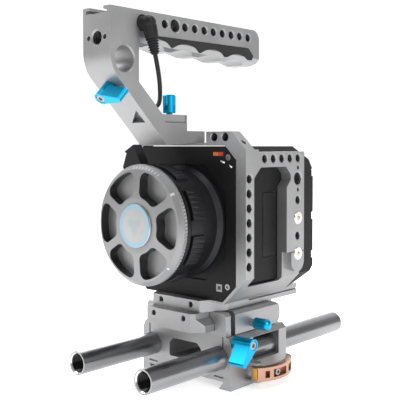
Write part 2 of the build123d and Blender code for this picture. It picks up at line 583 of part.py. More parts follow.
def rear_housing():
    high = 154.5
    base = BODY_LOW
    outline = [(HOUSING_FRONT + WELD, base), (CAM_REAR - 15.0, base), (CAM_REAR, base + 15.0),
               (CAM_REAR, high - 15.0),
               (CAM_REAR - 8.0, high - 3.0), (CAM_REAR - 12.0, CAM_TOP), (HOUSING_FRONT + WELD, CAM_TOP)]
    side = prism_x(outline, -CAM_HALF, CAM_HALF)
    body = side & prism_y(octagon(CAM_HALF, BODY_LOW, CAM_TOP, CAM_CHAMFER, CAM_FOOT), HOUSING_FRONT,
                          CAM_REAR)
    inner = octagon(CAM_HALF - WALL, BODY_LOW + WALL, CAM_TOP - WALL, CAM_CHAMFER, CAM_FOOT)
    core = [(HOUSING_FRONT - 1, 60), (CAM_REAR - 16.0, 60), (CAM_REAR - 5.0, 72), (CAM_REAR - 5.0, 136),
            (CAM_REAR - 16.0, 153), (HOUSING_FRONT - 1, 153)]
    body -= prism_y(inner, HOUSING_FRONT - 1, CAM_REAR) & prism_x(core, -60, 60)
    for z in (138.0, 107.5, 80.0):
        for side_sign in (-1, 1):
            x0, x1 = sorted((side_sign * (CAM_HALF - 1.1), side_sign * (CAM_HALF + 1)))
            body -= block(x0, x1, CAM_REAR - 2.4, CAM_REAR + 1, z - 2.6, z + 2.6)
    body -= block(-24, 24, CAM_REAR - 2.0, CAM_REAR + 1, 74, 132)
    for i in range(7):
        body -= block(-30 + i * 9, -27 + i * 9, 33, 40, CAM_TOP - WALL - 1, CAM_TOP + 1)
    return body


def battery_plate():
    plate = block(-23.6, 23.6, CAM_REAR - 2.0 + WELD, CAM_REAR + 1.8, 74.4, 131.6)
    for x in (-21.8, 21.8):
        low, high = sorted((x, x * 0.88))
        plate += block(low, high, CAM_REAR + 1.7, CAM_REAR + 4.2, 79, 126)
    for i in range(5):
        plate -= block(-12.4 + i * 5.4, -9.4 + i * 5.4, CAM_REAR + 0.6, CAM_REAR + 2, 79, 91)
    plate -= block(-5.3, 5.3, CAM_REAR - 3, CAM_REAR + 3, 119.7, 128.3)
    return plate


def battery_contacts():
    return Compound(children=[block(-12.0 + i * 5.4, -9.8 + i * 5.4, CAM_REAR + 0.62, CAM_REAR + 1.5,
                                    80, 90)
                              for i in range(5)])


def battery_release():
    return block(-5, 5, CAM_REAR - 1.6, CAM_REAR + 3.6, 120, 128 - 2.2)


def sensor_group():
    module = block(-20, 20, -12, -6, LENS_Z - 17, LENS_Z + 17)
    module -= block(-13, 13, -13, -10.4, LENS_Z - 10, LENS_Z + 10)
    add("sensor_module", module)
    add("sensor_filter", block(-12.9, 12.9, -12.0, -10.4 - WELD, LENS_Z - 9.9, LENS_Z + 9.9))
    board = block(-35, 34, 0, 1.6, 69, 146)
    for x, z in ((-20, 130), (10, 128), (-24, 84), (14, 82)):
        board += block(x - 6, x + 6, 1.5, 3.4, z - 6, z + 6)
    add("main_board", board)
    sink = block(-26, 26, 6, 8.5, 72, 140)
    for i in range(9):
        sink += block(-26 + i * 6, -24.6 + i * 6, 8.4, 16, 72, 140)
    add("heat_sink", sink)
    hub = rod((0, 19, LENS_Z), (0, 1, 0), 7, 7)
    for i in range(7):
        angle = 360 / 7 * i
        blade = Pos(0, 22.5, LENS_Z) * Rot(0, angle, 0) * Pos(11.5, 0, 0) * Rot(35, 0, 0) * Box(11, 6,
                                                                                                1.0)
        hub += blade
    hub -= rod((0, 17, LENS_Z), (0, 1, 0), 1.5 + FIT, 10)
    add("fan_rotor", hub)
    frame = rod((0, 18.5, LENS_Z), (0, 1, 0), 21, 8.5) - rod((0, 17, LENS_Z), (0, 1, 0), 18.6, 12)
    frame += rod((0, 27.0 - WELD, LENS_Z), (0, 1, 0), 21, 1.4)
    for i in range(4):
        frame -= Pos(0, 27.6, LENS_Z) * Rot(0, 45 + 90 * i, 0) * Pos(12.5, 0, 0) * Box(9, 4, 9)
    frame += rod((0, 18.6, LENS_Z), (0, 1, 0), 1.5, 9.2)
    add("fan_frame", frame)


def camera_group():
    add("camera_front_plate", front_plate())
    heads = [screw((x, CAM_FRONT + 0.2, z), (0, 1, 0), 2.2, 1.8, 1.25, 8.0, 1.1) for x, z in PLATE_SCREWS]
    add("front_plate_screws", Compound(children=heads))
    add("camera_body_shell", body_shell())
    add("camera_rear_housing", rear_housing())
    add("card_door", card_door())
    y1, z0, z1 = CARD_DOOR[1], CARD_DOOR[2], CARD_DOOR[3]
    add("card_door_pin", rod((CAM_HALF - 0.9, y1 - 0.9, z0 - 2.4), (0, 0, 1), 0.58, z1 - z0 + 4.8))
    for i, z in enumerate(BUTTON_ZS, 1):
        add("function_button_%d" % i, camera_button(BUTTON_Y, z, BUTTON_RADIUS))
    add("record_button", camera_button(BUTTON_Y, RECORD_Z, RECORD_RADIUS))
    add("battery_plate", battery_plate())
    add("battery_contacts", battery_contacts())
    add("battery_release", battery_release())
    sensor_group()


# ---------------------------------------------------------------- lens mount, lock ring and cap
RING_FRONT, RING_REAR = -64.0, -53.5
RING_RADIUS_OUT = 36.0
LUG_RADIUS = 38.2
RING_BORE = 33.4
CAP_EDGE = -72.3
CAP_RADIUS = 38.0
CAP_SHOULDER = 37.6
SPOKES = 6
SPOKE_WIDTH = 5.4
POCKET_IN, POCKET_OUT = 18.2, 34.2


def lens_mount_base():
    """Fixed barrel of the mount: flange, seat for the lock ring and a stepped throat."""
    outline = [(THROAT, 0), (37.0, 0), (37.0, 3.0), (34.6, 6.0), (34.6, 19.4), (RING_BORE - FIT, 19.4),
               (RING_BORE - FIT, 33.1), (SEAT_RADIUS, 33.1), (SEAT_RADIUS, 26.0), (THROAT, 26.0)]
    return turned((0, CAM_FRONT + 1.2 - WELD, LENS_Z), (0, -1, 0), outline)


def lock_ring():
    depth = RING_REAR - RING_FRONT
    ring = rod((0, RING_REAR, LENS_Z), (0, -1, 0), RING_RADIUS_OUT, depth)
    lug_count = 8
    for i in range(lug_count):
        angle = 22 + i * 360 / lug_count
        pad = Pos(0, RING_REAR - depth / 2, LENS_Z) * Rot(0, -angle, 0) * Pos(RING_RADIUS_OUT, 0, 0)
        ring += pad * Box(8, depth, 19.5)
    ring = ring & rod((0, RING_REAR, LENS_Z), (0, -1, 0), LUG_RADIUS, depth)
    tab = Pos(0, RING_REAR - 3.6, LENS_Z) * Rot(0, -119, 0) * Pos(43, 0, 0) * Box(21, 7.2, 16)
    tab -= Pos(0, RING_REAR - 3.6, LENS_Z) * Rot(0, -119, 0) * Pos(55.5, 0, 11.5) * Rot(0, -40,
                                                                                        0) * Box(20,
                                                                                                 12, 12)
    ring += tab
    return ring - rod((0, RING_REAR + 1, LENS_Z), (0, -1, 0), RING_BORE, 30)


def lens_cap():
    """Port cap: knurled rim, coned face, six rounded pockets between the spokes and a hub."""
    outline = [(0, 7.8), (SEAT_RADIUS - GAP, 7.8), (SEAT_RADIUS - GAP, 6.1), (CAP_SHOULDER, 6.1),
               (CAP_SHOULDER, 3.2), (36.4, 3.2), (36.4, 2.6), (CAP_RADIUS, 2.6), (CAP_RADIUS, 0),
               (35.4, -2.6), (17.0, -4.1), (0, -4.1)]
    cap = turned((0, CAP_EDGE, LENS_Z), (0, 1, 0), outline)
    web = Circle(POCKET_OUT) - Circle(POCKET_IN)
    for i in range(SPOKES // 2):
        web -= Rot(0, 0, 30 + i * 60) * Rectangle(90, SPOKE_WIDTH)
    for pocket in web.faces():
        rounded = pocket.fillet_2d(4.6, pocket.vertices())
        cap -= Plane(origin=(0, CAP_EDGE + 3.6, LENS_Z), x_dir=(1, 0, 0),
                     z_dir=(0, -1, 0)) * extrude(rounded, 12)
    return cap - rod((0, CAP_EDGE - 5.2, LENS_Z), (0, 1, 0), 14.0 + FIT, 1.8)


def cap_badge():
    outline = [(0, 0), (13.5, 0), (14.0, 0.6), (14.0, 2.0), (0, 2.0)]
    return turned((0, CAP_EDGE - 5.45, LENS_Z), (0, 1, 0), outline)


def lens_group():
    add("lens_mount_base", lens_mount_base())
    add("lens_lock_ring", lock_ring())
    add("lens_cap", lens_cap())
    add("cap_badge", cap_badge())


# ---------------------------------------------------------------- handle
ROD_HOLE = (-95.8, 208.4)
JACK_Y, JACK_Z = -81.2, 231.2
GRIP_FRONT, GRIP_REAR = -79.4, 24.5
GRIP_DEPTH = 2.2
WAVE_STEP = 26.0
ARM_LEVER_AXIS = (0, -0.7096, -0.7046)


def handle_outline():
    """Side view (y, z) of the handle, from the top rear corner forwards."""
    return [(HANDLE_REAR, HANDLE_TOP), (HANDLE_FRONT, HANDLE_TOP), (HANDLE_FRONT, 203.45), (-61.2, 157.6), (-54.0, 157.6), (-36.0, WEB_TOP + WELD), (BRIDGE_REAR, WEB_TOP + WELD),
            (BRIDGE_REAR, 166.4), (-42.3, 166.4),
            (-42.3, FOOT_TOP), (-64.6, FOOT_TOP), (-84.5, 195.4), (-84.5, BAR_BOTTOM + BAR_RISE), (HANDLE_REAR, BAR_BOTTOM)]


def handle_frame():
    body = prism_x(handle_outline(), -HANDLE_HALF, HANDLE_HALF, 2.2, [10])
    knee = body.edges().filter_by(Axis.X).sort_by_distance((0, HANDLE_FRONT, 203.45))[0]
    body = fillet(knee, 22.0)
    for side in (-1, 1):
        edge = [(side * 20, BAR_SHOULDER), (side * HANDLE_HALF, BAR_SHOULDER),
                (side * 10.4, BAR_SHOULDER - 3.2),
                (side * 6.4, BAR_BOTTOM - 0.5), (side * 6.4, BAR_BOTTOM - 3), (side * 20, BAR_BOTTOM - 3)]
        body -= tilted(prism_y(edge, -88.0, HANDLE_REAR + 6)) & block(-30, 30, -84.0, 60, 190, 240)
    for corner_z, up in ((HANDLE_TOP, -1), (BAR_BOTTOM, 1)):
        centre_z = corner_z + up * 7
        low, high = sorted((corner_z - up, centre_z))
        tip = block(-20, 20, HANDLE_REAR - 7, HANDLE_REAR + 1, low, high)
        body -= tip - rod((-20, HANDLE_REAR - 7, centre_z), (1, 0, 0), 7, 40)
    body -= finger_grooves(0.0)
    for side in (-1, 1):
        low, high = sorted((side * (HANDLE_HALF - GRIP_DEPTH), side * (HANDLE_HALF + 1)))
        body -= prism_x(grip_outline(0.0), low, high) - finger_grooves(3.4)
    body -= rod((-20, ROD_HOLE[0], ROD_HOLE[1]), (1, 0, 0), ROD_RADIUS + FIT, 40)
    for side in (-1, 1):
        body -= hole((side * HANDLE_HALF, ROD_HOLE[0], ROD_HOLE[1]), (-side, 0, 0), ROD_RADIUS + FIT,
                     2, 0.7)
        for i in range(10):
            size = EIGHTHS_TAP if i == 1 else QUARTER_TAP
            body -= hole((side * HANDLE_HALF, -62.0 + i * HOLE_STEP, HOLE_ROW_Z), (-side, 0, 0), size,
                         7.5)
    body -= hole((0, HANDLE_FRONT, 220.6), (0, 1, 0), EIGHTHS_TAP, 8, 0.8)
    for side in (-1, 1):
        body -= hole((side * 7.2, HANDLE_FRONT, 220.6), (0, 1, 0), 1.5, 5, 0.2)
    body -= block(-9.4, 9.4, HANDLE_FRONT - 1, -86.0, HANDLE_TOP - 4.0, HANDLE_TOP - 1.8)
    body -= block(-6.4, 6.4, HANDLE_FRONT - 1, -86.0, HANDLE_TOP - 4.0, HANDLE_TOP + 1)
    body -= rod((HANDLE_HALF + 1, JACK_Y, JACK_Z), (-1, 0, 0), 5.0 + FIT, 11)
    body -= rod((-HANDLE_HALF - 1, TRIGGER_Y, HOLE_ROW_Z), (1, 0, 0), 5.0 + GAP, 9.4)
    body -= rod((0, FOOT_SCREW_Y, 162), (0, 0, 1), 2.0 + FIT, 30)
    for x in (-7, 7):
        body -= rod((x, -30.0, 157), (0, 0, 1), 1.6 + FIT, 8)
    body -= rod(arm_point(1.0), tuple(-c for c in ARM_LEVER_AXIS), ROD_SCREW + FIT, 12)
    face = Plane(origin=(0, -78.2, 174.45), x_dir=(1, 0, 0), z_dir=ARM_LEVER_AXIS)
    notch = make_face(Polyline((-4.5, -4.6), (7.5, -4.6), (6.8, 5.6), close=True))
    body -= face * Pos(0, 0, -4.0) * extrude(notch, 6.0, dir=(0, 0, 1))
    slot = block(HANDLE_HALF - 1.2, HANDLE_HALF + 1, -62.4, -43.6, 171.4, 172.2)
    slot += block(HANDLE_HALF - 1.2, HANDLE_HALF + 1, -44.4, -43.6, 171.4, FOOT_TOP + 1)
    body -= slot
    body -= mirror_x(slot)
    return body


def tilted(shape):
    """Turns a cutter with the underside of the bar, which rises towards the front."""
    tilt = math.degrees(math.atan(BAR_RISE / (HANDLE_REAR + 84.5)))
    return Pos(0, HANDLE_REAR, BAR_BOTTOM) * Rot(-tilt, 0, 0) * Pos(0, -HANDLE_REAR, -BAR_BOTTOM) * shape


def finger_grooves(grow):
    """Shallow scallops across the underside of the bar."""
    cut = [tilted(rod((-20, -68.0 + i * WAVE_STEP, BAR_BOTTOM - 18.0), (1, 0, 0), 20.6 + grow, 40))
           for i in range(4)]
    return Part() + cut & block(-20, 20, -83.5, 40, BAR_BOTTOM - 4, 230)


def arm_point(out):
    """Point on the arm lever's axis, measured outwards from the arm's sloping face."""
    foot = (0.0, -96.55, 192.49)
    return tuple(p + out * c for p, c in zip(foot, ARM_LEVER_AXIS))


FOOT_SCREW_Y = -46.4
TRIGGER_Y = -82.7


def grip_outline(shrink):
    top, low = 225.4 - shrink, BAR_SHOULDER - 1.2
    return [(GRIP_FRONT + shrink, top - 1.0), (GRIP_REAR - 4, top), (GRIP_REAR + 1.5, 220.5),
            (GRIP_REAR, low),
            (GRIP_FRONT + 3, low)]


def grip_insert(side):
    """Dark grip panel let into the side of the bar, scalloped like the finger grooves."""
    low, high = sorted((side * (HANDLE_HALF - GRIP_DEPTH + WELD), side * (HANDLE_HALF + 0.3)))
    return prism_x(grip_outline(0.1), low, high) - finger_grooves(3.5)


def arm_lever():
    return Plane(origin=arm_point(0.3), x_dir=(1, 0, 0), z_dir=ARM_LEVER_AXIS) * wing_lever(11.0, 9.0,
                                                                                            (14.0, -1.5))


def arm_lever_screw():
    inward = tuple(-c for c in ARM_LEVER_AXIS)
    return screw(arm_point(0.3 + 10.8), inward, SCREW_HEAD, 2.0, ROD_SCREW, 19.0, 1.5)


def foot_thumb_screw():
    knob = thumb_knob((0, FOOT_SCREW_Y, FOOT_TOP + 1.4), (0, 0, 1), 4.2, 12.5, 1.4)
    for turn in range(6):
        angle = turn * math.pi / 3
        groove = (4.8 * math.cos(angle), FOOT_SCREW_Y + 4.8 * math.sin(angle), FOOT_TOP + 6.5)
        knob -= rod(groove, (0, 0, 1), 1.1, 10)
    return knob + rod((0, FOOT_SCREW_Y, 163.0), (0, 0, 1), 2.0, FOOT_TOP + 2 - 163.0)


def handle_group():
    add("handle_frame", handle_frame())
    add("grip_insert_right", grip_insert(1))
    add("grip_insert_left", grip_insert(-1))
    add("arm_lever", arm_lever())
    add("arm_lever_screw", arm_lever_screw())
    add("foot_thumb_screw", foot_thumb_screw())
    trigger = rod((-HANDLE_HALF + 6.0, TRIGGER_Y, HOLE_ROW_Z), (-1, 0, 0), 5.0, 8.0)
    add("trigger_button", trigger)


# ---------------------------------------------------------------- trigger cable
CABLE_RADIUS = 1.4
PLUG_RADIUS = 4.3
PLUG_AXIS_X = 18.0
CABLE_POINTS = [(18.0, -76.8, 212.0), (18.0, -73.6, 200.6), (14.5, -69.0, 189.6), (3.5, -59.0, 182.4),
                (-9.0, -54.5, 180.6), (-20.0, -49.5, 176.4), (-27.0, -40.0, 171.0), (-33.0, -29.0, 169.4),
                (-42.0, -19.0, 164.0), (-53.0, -12.0, 154.0), (-61.0, -9.0, 143.0), (-66.0, -8.0, 132.5),
                (-66.5, -7.0, 123.6), (-59.0, PORT_Y, PORT_Z)]


def cable_path():
    points = [Vector(*p) for p in CABLE_POINTS]
    radii = []
    for a, b, c in zip(points, points[1:], points[2:]):
        turn = math.radians((b - a).get_angle(c - b))
        shorter = min((b - a).length, (c - b).length)
        radii.append(0.45 * shorter / math.tan(turn / 2))
    print("cable radii", [round(r, 1) for r in radii])
    return FilletPolyline(*points, radius=radii)


def trigger_cable():
    path = cable_path()
    start = Plane(origin=path @ 0, z_dir=path % 0)
    tube = sweep(start * Circle(CABLE_RADIUS), path=path)
    print("cable length %.1f, volume ratio %.4f"
          % (path.length, tube.volume / (math.pi * CABLE_RADIUS ** 2 * path.length)))
    return tube


def angle_plug():
    """Right-angle plug: barrel into the jack, body turned down, tapered strain relief."""
    tail = Vector(*CABLE_POINTS[0])
    way = (tail - Vector(*CABLE_POINTS[1])).normalized()
    elbow = tail + way * 19.5
    barrel = rod((HANDLE_HALF + WELD, elbow.Y, elbow.Z), (1, 0, 0), PLUG_RADIUS,
                 PLUG_AXIS_X - HANDLE_HALF)
    body = rod(tuple(elbow), tuple(-way), 4.1, 8.6) + Pos(*elbow) * Sphere(4.35)
    relief = turned(tuple(elbow), tuple(-way), [(0, 8.0), (2.9, 8.0), (1.7, 19.48), (0, 19.48)])
    return barrel + body + relief


def jack_socket():
    bush = rod((HANDLE_HALF, JACK_Y, JACK_Z), (-1, 0, 0), 5.0, 9.5)
    return bush - rod((HANDLE_HALF + 1, JACK_Y, JACK_Z), (-1, 0, 0), 1.8, 9)


def port_plug():
    """Straight plug in the camera's control port, with its tapered tail."""
    tail = Vector(*CABLE_POINTS[-1])
    before = Vector(*CABLE_POINTS[-2])
    way = (before - tail).normalized()
    outline = [(0, 0), (PORT_RADIUS, 0), (PORT_RADIUS, 4.4), (5.6, 4.6), (5.6, 10.0), (3.0, 12.0),
               (0, 12.0)]
    plug = turned((-CAM_HALF + 2.0, PORT_Y, PORT_Z), (-1, 0, 0), outline)
    relief = turned(tuple(tail - way * 4.5), tuple(way), [(0, 0), (2.9, 0), (2.0, 4.48), (0, 4.48)])
    return plug + relief


def cable_group():
    add("cable_jack", jack_socket())
    add("cable_plug", angle_plug())
    add("trigger_cable", trigger_cable())
    add("camera_plug", port_plug())


# ---------------------------------------------------------------- build and write
base_group()
riser_group()
receiver_group()
cage_group()
camera_group()
lens_group()
handle_group()
cable_group()

os.makedirs("parts", exist_ok=True)
for name, shape in parts.items():
    export_step(shape, "parts/%s.step" % name)
print(len(parts), "parts")
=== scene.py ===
# %% [markdown]
# # Cinema camera rig
# A box camera sits in a grey anodised cage. A handle with a grip runs over the top, a short
# trigger cable joins the handle to the camera, and a dovetail plate, a riser with two support
# rods and a quick-release clamp carry it all. The machined parts arrive finished in shape, so
# this lesson adds what a CAD model leaves out: metal and paint that look real, threads in the
# holes, knurls, ribs and a soft cable.

# %% Load the machined parts
import json

import bpy
import numpy as np
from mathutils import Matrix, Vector

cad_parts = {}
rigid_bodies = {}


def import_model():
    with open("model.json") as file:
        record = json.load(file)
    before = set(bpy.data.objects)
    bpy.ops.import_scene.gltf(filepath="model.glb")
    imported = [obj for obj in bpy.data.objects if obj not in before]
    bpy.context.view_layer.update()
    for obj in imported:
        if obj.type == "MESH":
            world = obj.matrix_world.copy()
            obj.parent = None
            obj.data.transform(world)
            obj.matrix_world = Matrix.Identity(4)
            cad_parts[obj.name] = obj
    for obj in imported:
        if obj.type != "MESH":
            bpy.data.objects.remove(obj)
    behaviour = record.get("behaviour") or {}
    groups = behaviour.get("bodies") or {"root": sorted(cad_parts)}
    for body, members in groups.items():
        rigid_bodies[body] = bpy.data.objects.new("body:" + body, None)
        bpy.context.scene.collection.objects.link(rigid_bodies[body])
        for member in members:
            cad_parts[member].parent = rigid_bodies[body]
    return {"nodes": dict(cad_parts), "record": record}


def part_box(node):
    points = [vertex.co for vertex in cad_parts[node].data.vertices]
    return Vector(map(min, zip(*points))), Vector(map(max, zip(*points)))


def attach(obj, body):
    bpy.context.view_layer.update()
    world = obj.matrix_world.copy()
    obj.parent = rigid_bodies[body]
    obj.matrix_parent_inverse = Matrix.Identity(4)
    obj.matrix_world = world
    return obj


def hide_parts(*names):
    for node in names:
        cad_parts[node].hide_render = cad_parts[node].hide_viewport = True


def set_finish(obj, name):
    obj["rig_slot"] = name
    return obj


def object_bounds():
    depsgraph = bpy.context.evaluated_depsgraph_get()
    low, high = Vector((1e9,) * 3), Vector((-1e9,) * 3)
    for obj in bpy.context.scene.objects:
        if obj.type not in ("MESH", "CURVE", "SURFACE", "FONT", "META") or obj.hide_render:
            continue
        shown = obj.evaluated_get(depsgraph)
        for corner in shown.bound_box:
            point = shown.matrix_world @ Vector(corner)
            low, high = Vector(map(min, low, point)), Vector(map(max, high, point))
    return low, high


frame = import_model()
scene = bpy.context.scene
cad_low, cad_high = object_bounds()
slot_of = {row["node"]: row["material_slot"] for row in frame["record"]["subparts"]}
MM = 0.001
print("nodes", len(slot_of), "size in mm", [round(1000 * v) for v in cad_high - cad_low])

# %% [markdown]
# ## Surfaces from two parameters
# Every new piece here is a grid of points: one parameter runs along the piece, the other runs
# round it. Neighbouring points are joined by four-sided faces. It could be drawn by hand in edit
# mode, but a formula gives an exact pitch and an even mesh. Where the grid shrinks to a point
# the doubled corners are merged, so every piece is a closed skin with its faces outwards.

# %% Grids to meshes
def grid_piece(name, points, body, slot, wrap=True, smooth=30.0, closed=True):
    """Mesh from points shaped (copies, rows, columns, 3) in millimetres. A face joins (i, j), (i, j + 1),
    (i + 1, j + 1) and (i + 1, j); with wrap, the last column joins the first one again."""
    points = np.asarray(points, float)
    points = points.reshape((-1,) + points.shape[-3:])
    copies, rows, columns = points.shape[:3]
    down, across = np.arange(rows - 1)[:, None], np.arange(columns if wrap else columns - 1)[None, :]
    beside = (across + 1) % columns
    quad = np.stack([down * columns + across, down * columns + beside,
                     (down + 1) * columns + beside, (down + 1) * columns + across], -1).reshape(-1, 4)
    faces = (quad[None] + (np.arange(copies) * rows * columns)[:, None, None]).reshape(-1, 4)
    mesh = bpy.data.meshes.new(name)
    mesh.from_pydata((points.reshape(-1, 3) * MM).tolist(), [], faces.tolist())
    piece = bpy.data.objects.new(name, mesh)
    scene.collection.objects.link(piece)
    tidy_mesh(mesh, closed)
    mesh.shade_smooth()
    mesh.set_sharp_from_angle(angle=np.radians(smooth))
    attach(piece, body)
    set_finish(piece, slot)
    print(name, "copies", copies, "faces", len(mesh.polygons))
    return piece


def tidy_mesh(mesh, closed):
    """Merges doubled points and, on a closed skin, turns every face outwards."""
    import bmesh
    work = bmesh.new()
    work.from_mesh(mesh)
    bmesh.ops.remove_doubles(work, verts=work.verts, dist=2e-7)
    if closed:
        bmesh.ops.recalc_face_normals(work, faces=work.faces)
    work.to_mesh(mesh)
    work.free()


# %% Directions round an axis
def across(axis):
    """Two unit directions at right angles to each axis; axis is (copies, 3)."""
    axis = np.atleast_2d(np.asarray(axis, float))
    axis = axis / np.linalg.norm(axis, axis=1, keepdims=True)
    helper = np.where(np.abs(axis[:, 2:3]) > 0.9, [[1.0, 0, 0]], [[0, 0, 1.0]])
    first = np.cross(axis, helper)
    first /= np.linalg.norm(first, axis=1, keepdims=True)
    return axis, first, np.cross(axis, first)


def spread(vectors):
    """Gives one vector per copy the shape (copies, 1, 1, 3), ready to be added to a grid."""
    return vectors[:, None, None, :]


def about(start, axis, radius, along, angle):
    """Points at start + along times the axis + radius times (cos angle, sin angle) across it.
    radius, along and angle broadcast to one (rows, columns) grid; start and axis hold the copies."""
    axis, first, second = across(axis)
    start = np.atleast_2d(np.asarray(start, float))
    radius, along, angle = (a[None, :, :, None] for a in np.broadcast_arrays(radius, along, angle))
    round_it = np.cos(angle) * spread(first) + np.sin(angle) * spread(second)
    return spread(start) + along * spread(axis) + radius * round_it


print("axis test", across([0, 1, 0])[1])

# %% [markdown]
# ## Screw threads
# The accessory holes and the mouths of the rods are tapped. A thread is a ridge that climbs the
# wall of the hole like a spiral stair. It could be a Screw modifier on a small triangle; here the
# same triangle is carried along a helix, and it shrinks to nothing at both ends.

# %% Thread ridges
def thread(name, starts, axis, radius, pitch, turns, body, slot, steps=14, height=0.42):
    """Ridge in a hole: at angle a the ridge has gone pitch * a / (2 pi) along the axis. Its section is a
    triangle with two corners in the wall and one corner height inside it, scaled to a point at the ends."""
    rows = int(steps * turns) + 1
    turn = np.linspace(0, 2 * np.pi * turns, rows)[:, None]
    corner = np.array([[-0.45, 0.0, 0.45]])
    bite = np.array([[0.0, 1.0, 0.0]])
    taper = np.clip(np.minimum(turn, turn[-1] - turn) / 0.8, 0, 1)
    wall = radius + 0.08
    along = pitch * (turn / (2 * np.pi) + 0.5) + pitch * corner * taper
    reach = wall - (height + 0.08) * bite * taper
    starts = np.atleast_2d(np.asarray(starts, float))
    points = about(starts, np.repeat([axis], len(starts), 0), reach, along, turn + 0 * corner)
    return grid_piece(name, points, body, slot, smooth=20.0)


QUARTER, EIGHTHS = (2.55, 1.27), (4.0, 1.59)   # radius and pitch of the 1/4-20 and 3/8-16 holes
STEP = 9.18                                    # from one accessory hole to the next
COLUMN_Y, COLUMN_TOP = -30.3, 136.2            # the column of seven in the cage side
ROW_START, ROW_Z = -14.6, 148.6                # the row of five along its top
REAR_Y = 22.0                                  # the holes and ring screws at its rear edge
BIG_REAR_Z, RING_SCREW_Z = 134.9, (108.4, 84.3)
HANDLE_ROW_START, HANDLE_ROW_Z = -62.0, 232.6  # the row of ten along the handle
HANDLE_FRONT_Z, BRIDGE_Z = 220.6, 162.4
ROD_X, ROD_Z, ROD_BORE, ROD_PITCH = 30.0, 20.0, 5.6, 1.5
side_x = 1000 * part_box("cage_side_right")[1].x
handle_x = 1000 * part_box("handle_frame")[1].x
column = [(COLUMN_Y, COLUMN_TOP - i * STEP) for i in range(7)]
top_row = [(ROW_START + i * STEP, ROW_Z) for i in range(5)]
spots = np.array(column + top_row + [(REAR_Y, 120.4), (REAR_Y, 96.3)])
row_y = np.array([HANDLE_ROW_START + i * STEP for i in range(10) if i != 1])
starts = np.column_stack([np.full(len(spots), side_x), spots])
# The hole threads in the cage, handle and bridge take the black finish: painted shade that makes the holes
# dark inside.
thread("cage_threads", starts, (-1, 0, 0), *QUARTER, 5, "camera_sled", "black_metal", 12)
big = [(side_x, REAR_Y, BIG_REAR_Z)]
thread("cage_large_thread", big, (-1, 0, 0), *EIGHTHS, 4, "camera_sled", "black_metal", 24, 0.55)
for word, way in (("right", 1), ("left", -1)):
    starts = np.column_stack([np.full(9, way * handle_x), row_y, np.full(9, HANDLE_ROW_Z)])
    thread("handle_threads_" + word, starts, (-way, 0, 0), *QUARTER, 4, "camera_sled", "black_metal", 12)
    big = [(way * handle_x, HANDLE_ROW_START + STEP, HANDLE_ROW_Z)]
    thread("handle_large_thread_" + word, big, (-way, 0, 0), *EIGHTHS, 4, "camera_sled", "black_metal",
           24, 0.55)
    rod_low, rod_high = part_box("rod_" + word)
    for end, rod_y, inward in (("front", rod_low.y, 1), ("rear", rod_high.y, -1)):
        thread("rod_thread_%s_%s" % (end, word), [(way * ROD_X, 1000 * rod_y, ROD_Z)], (0, inward, 0),
               ROD_BORE, ROD_PITCH, 6, word + "_rod", "rod_anodised", 36, 0.7)
bridge_y = 1000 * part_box("cage_top_bridge")[0].y
starts = [(x, bridge_y, BRIDGE_Z) for x in (-36.7, -27.5, 27.5, 36.7)]
thread("bridge_threads", starts, (0, 1, 0), *QUARTER, 4, "camera_sled", "black_metal", 12)
handle_y = 1000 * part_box("handle_frame")[0].y
thread("handle_front_thread", [(0, handle_y, HANDLE_FRONT_Z)], (0, 1, 0), *EIGHTHS, 4, "camera_sled",
       "black_metal", 24, 0.55)

# %% [markdown]
# ## Turned pieces
# Knurls, ribs and rubber rings are turned shapes. The Screw or Spin tool would do it; a formula also
# lets the radius ripple as it goes round, which is exactly what a knurling wheel leaves behind.

# %% Turned skins
def turned(name, centre, axis, profile, body, slot, around=96, ripple=None, smooth=30.0, loop=False):
    """Skin of revolution: profile rows are (radius, distance along the axis), the columns go once round.
    ripple(angle, row share) is added to the radius. With loop, the profile's last row joins its first."""
    profile = np.asarray(profile, float)
    if loop:
        profile = np.vstack([profile, profile[:1]])
    angle = np.linspace(0, 2 * np.pi, around, endpoint=False)[None, :]
    radius = profile[:, :1] + 0 * angle
    if ripple is not None:
        radius = radius + ripple(angle, np.linspace(0, 1, len(profile))[:, None])
    points = about(centre, [axis], radius, profile[:, 1:] + 0 * angle, angle)
    return grid_piece(name, points, body, slot, smooth=smooth)


# %% [markdown]
# ## Knurled rim of the port cap
# The rim is cut with straight fine teeth for the fingers. A triangle wave in the radius, a hundred and
# ten times round, gives the teeth; they stand a third of a millimetre above the machined rim.

# %% Cap knurl
LENS_Z = 107.0       # height of the lens axis
CAP_EDGE = -72.3     # front edge of the cap's rim
TEETH = 110


def teeth(angle, share):
    """Triangle wave between 0 and 0.42 mm, faded out at the two edges of the band."""
    wave = 1 - np.abs((angle * TEETH / (2 * np.pi)) % 1 * 2 - 1)
    return 0.42 * wave * (share > 0.1) * (share < 0.72)


knurl = [(37.7, 0.25), (38.02, 0.35), (38.02, 1.0), (38.02, 1.8), (38.02, 2.3), (37.7, 2.45), (37.5, 1.3)]
turned("cap_knurl", (0, CAP_EDGE, LENS_Z), (0, 1, 0), knurl, "cap", "cap_grey", TEETH * 4, teeth, 12.0, True)

# %% [markdown]
# ## Ribs on the lock ring
# Each of the eight grips of the ring carries small raised bars. A bar is a half-round ridge between two
# points, with its ends drawn in to a point. All bars are one mesh: the copies differ only in where they
# start, so the whole set is a single array sum.

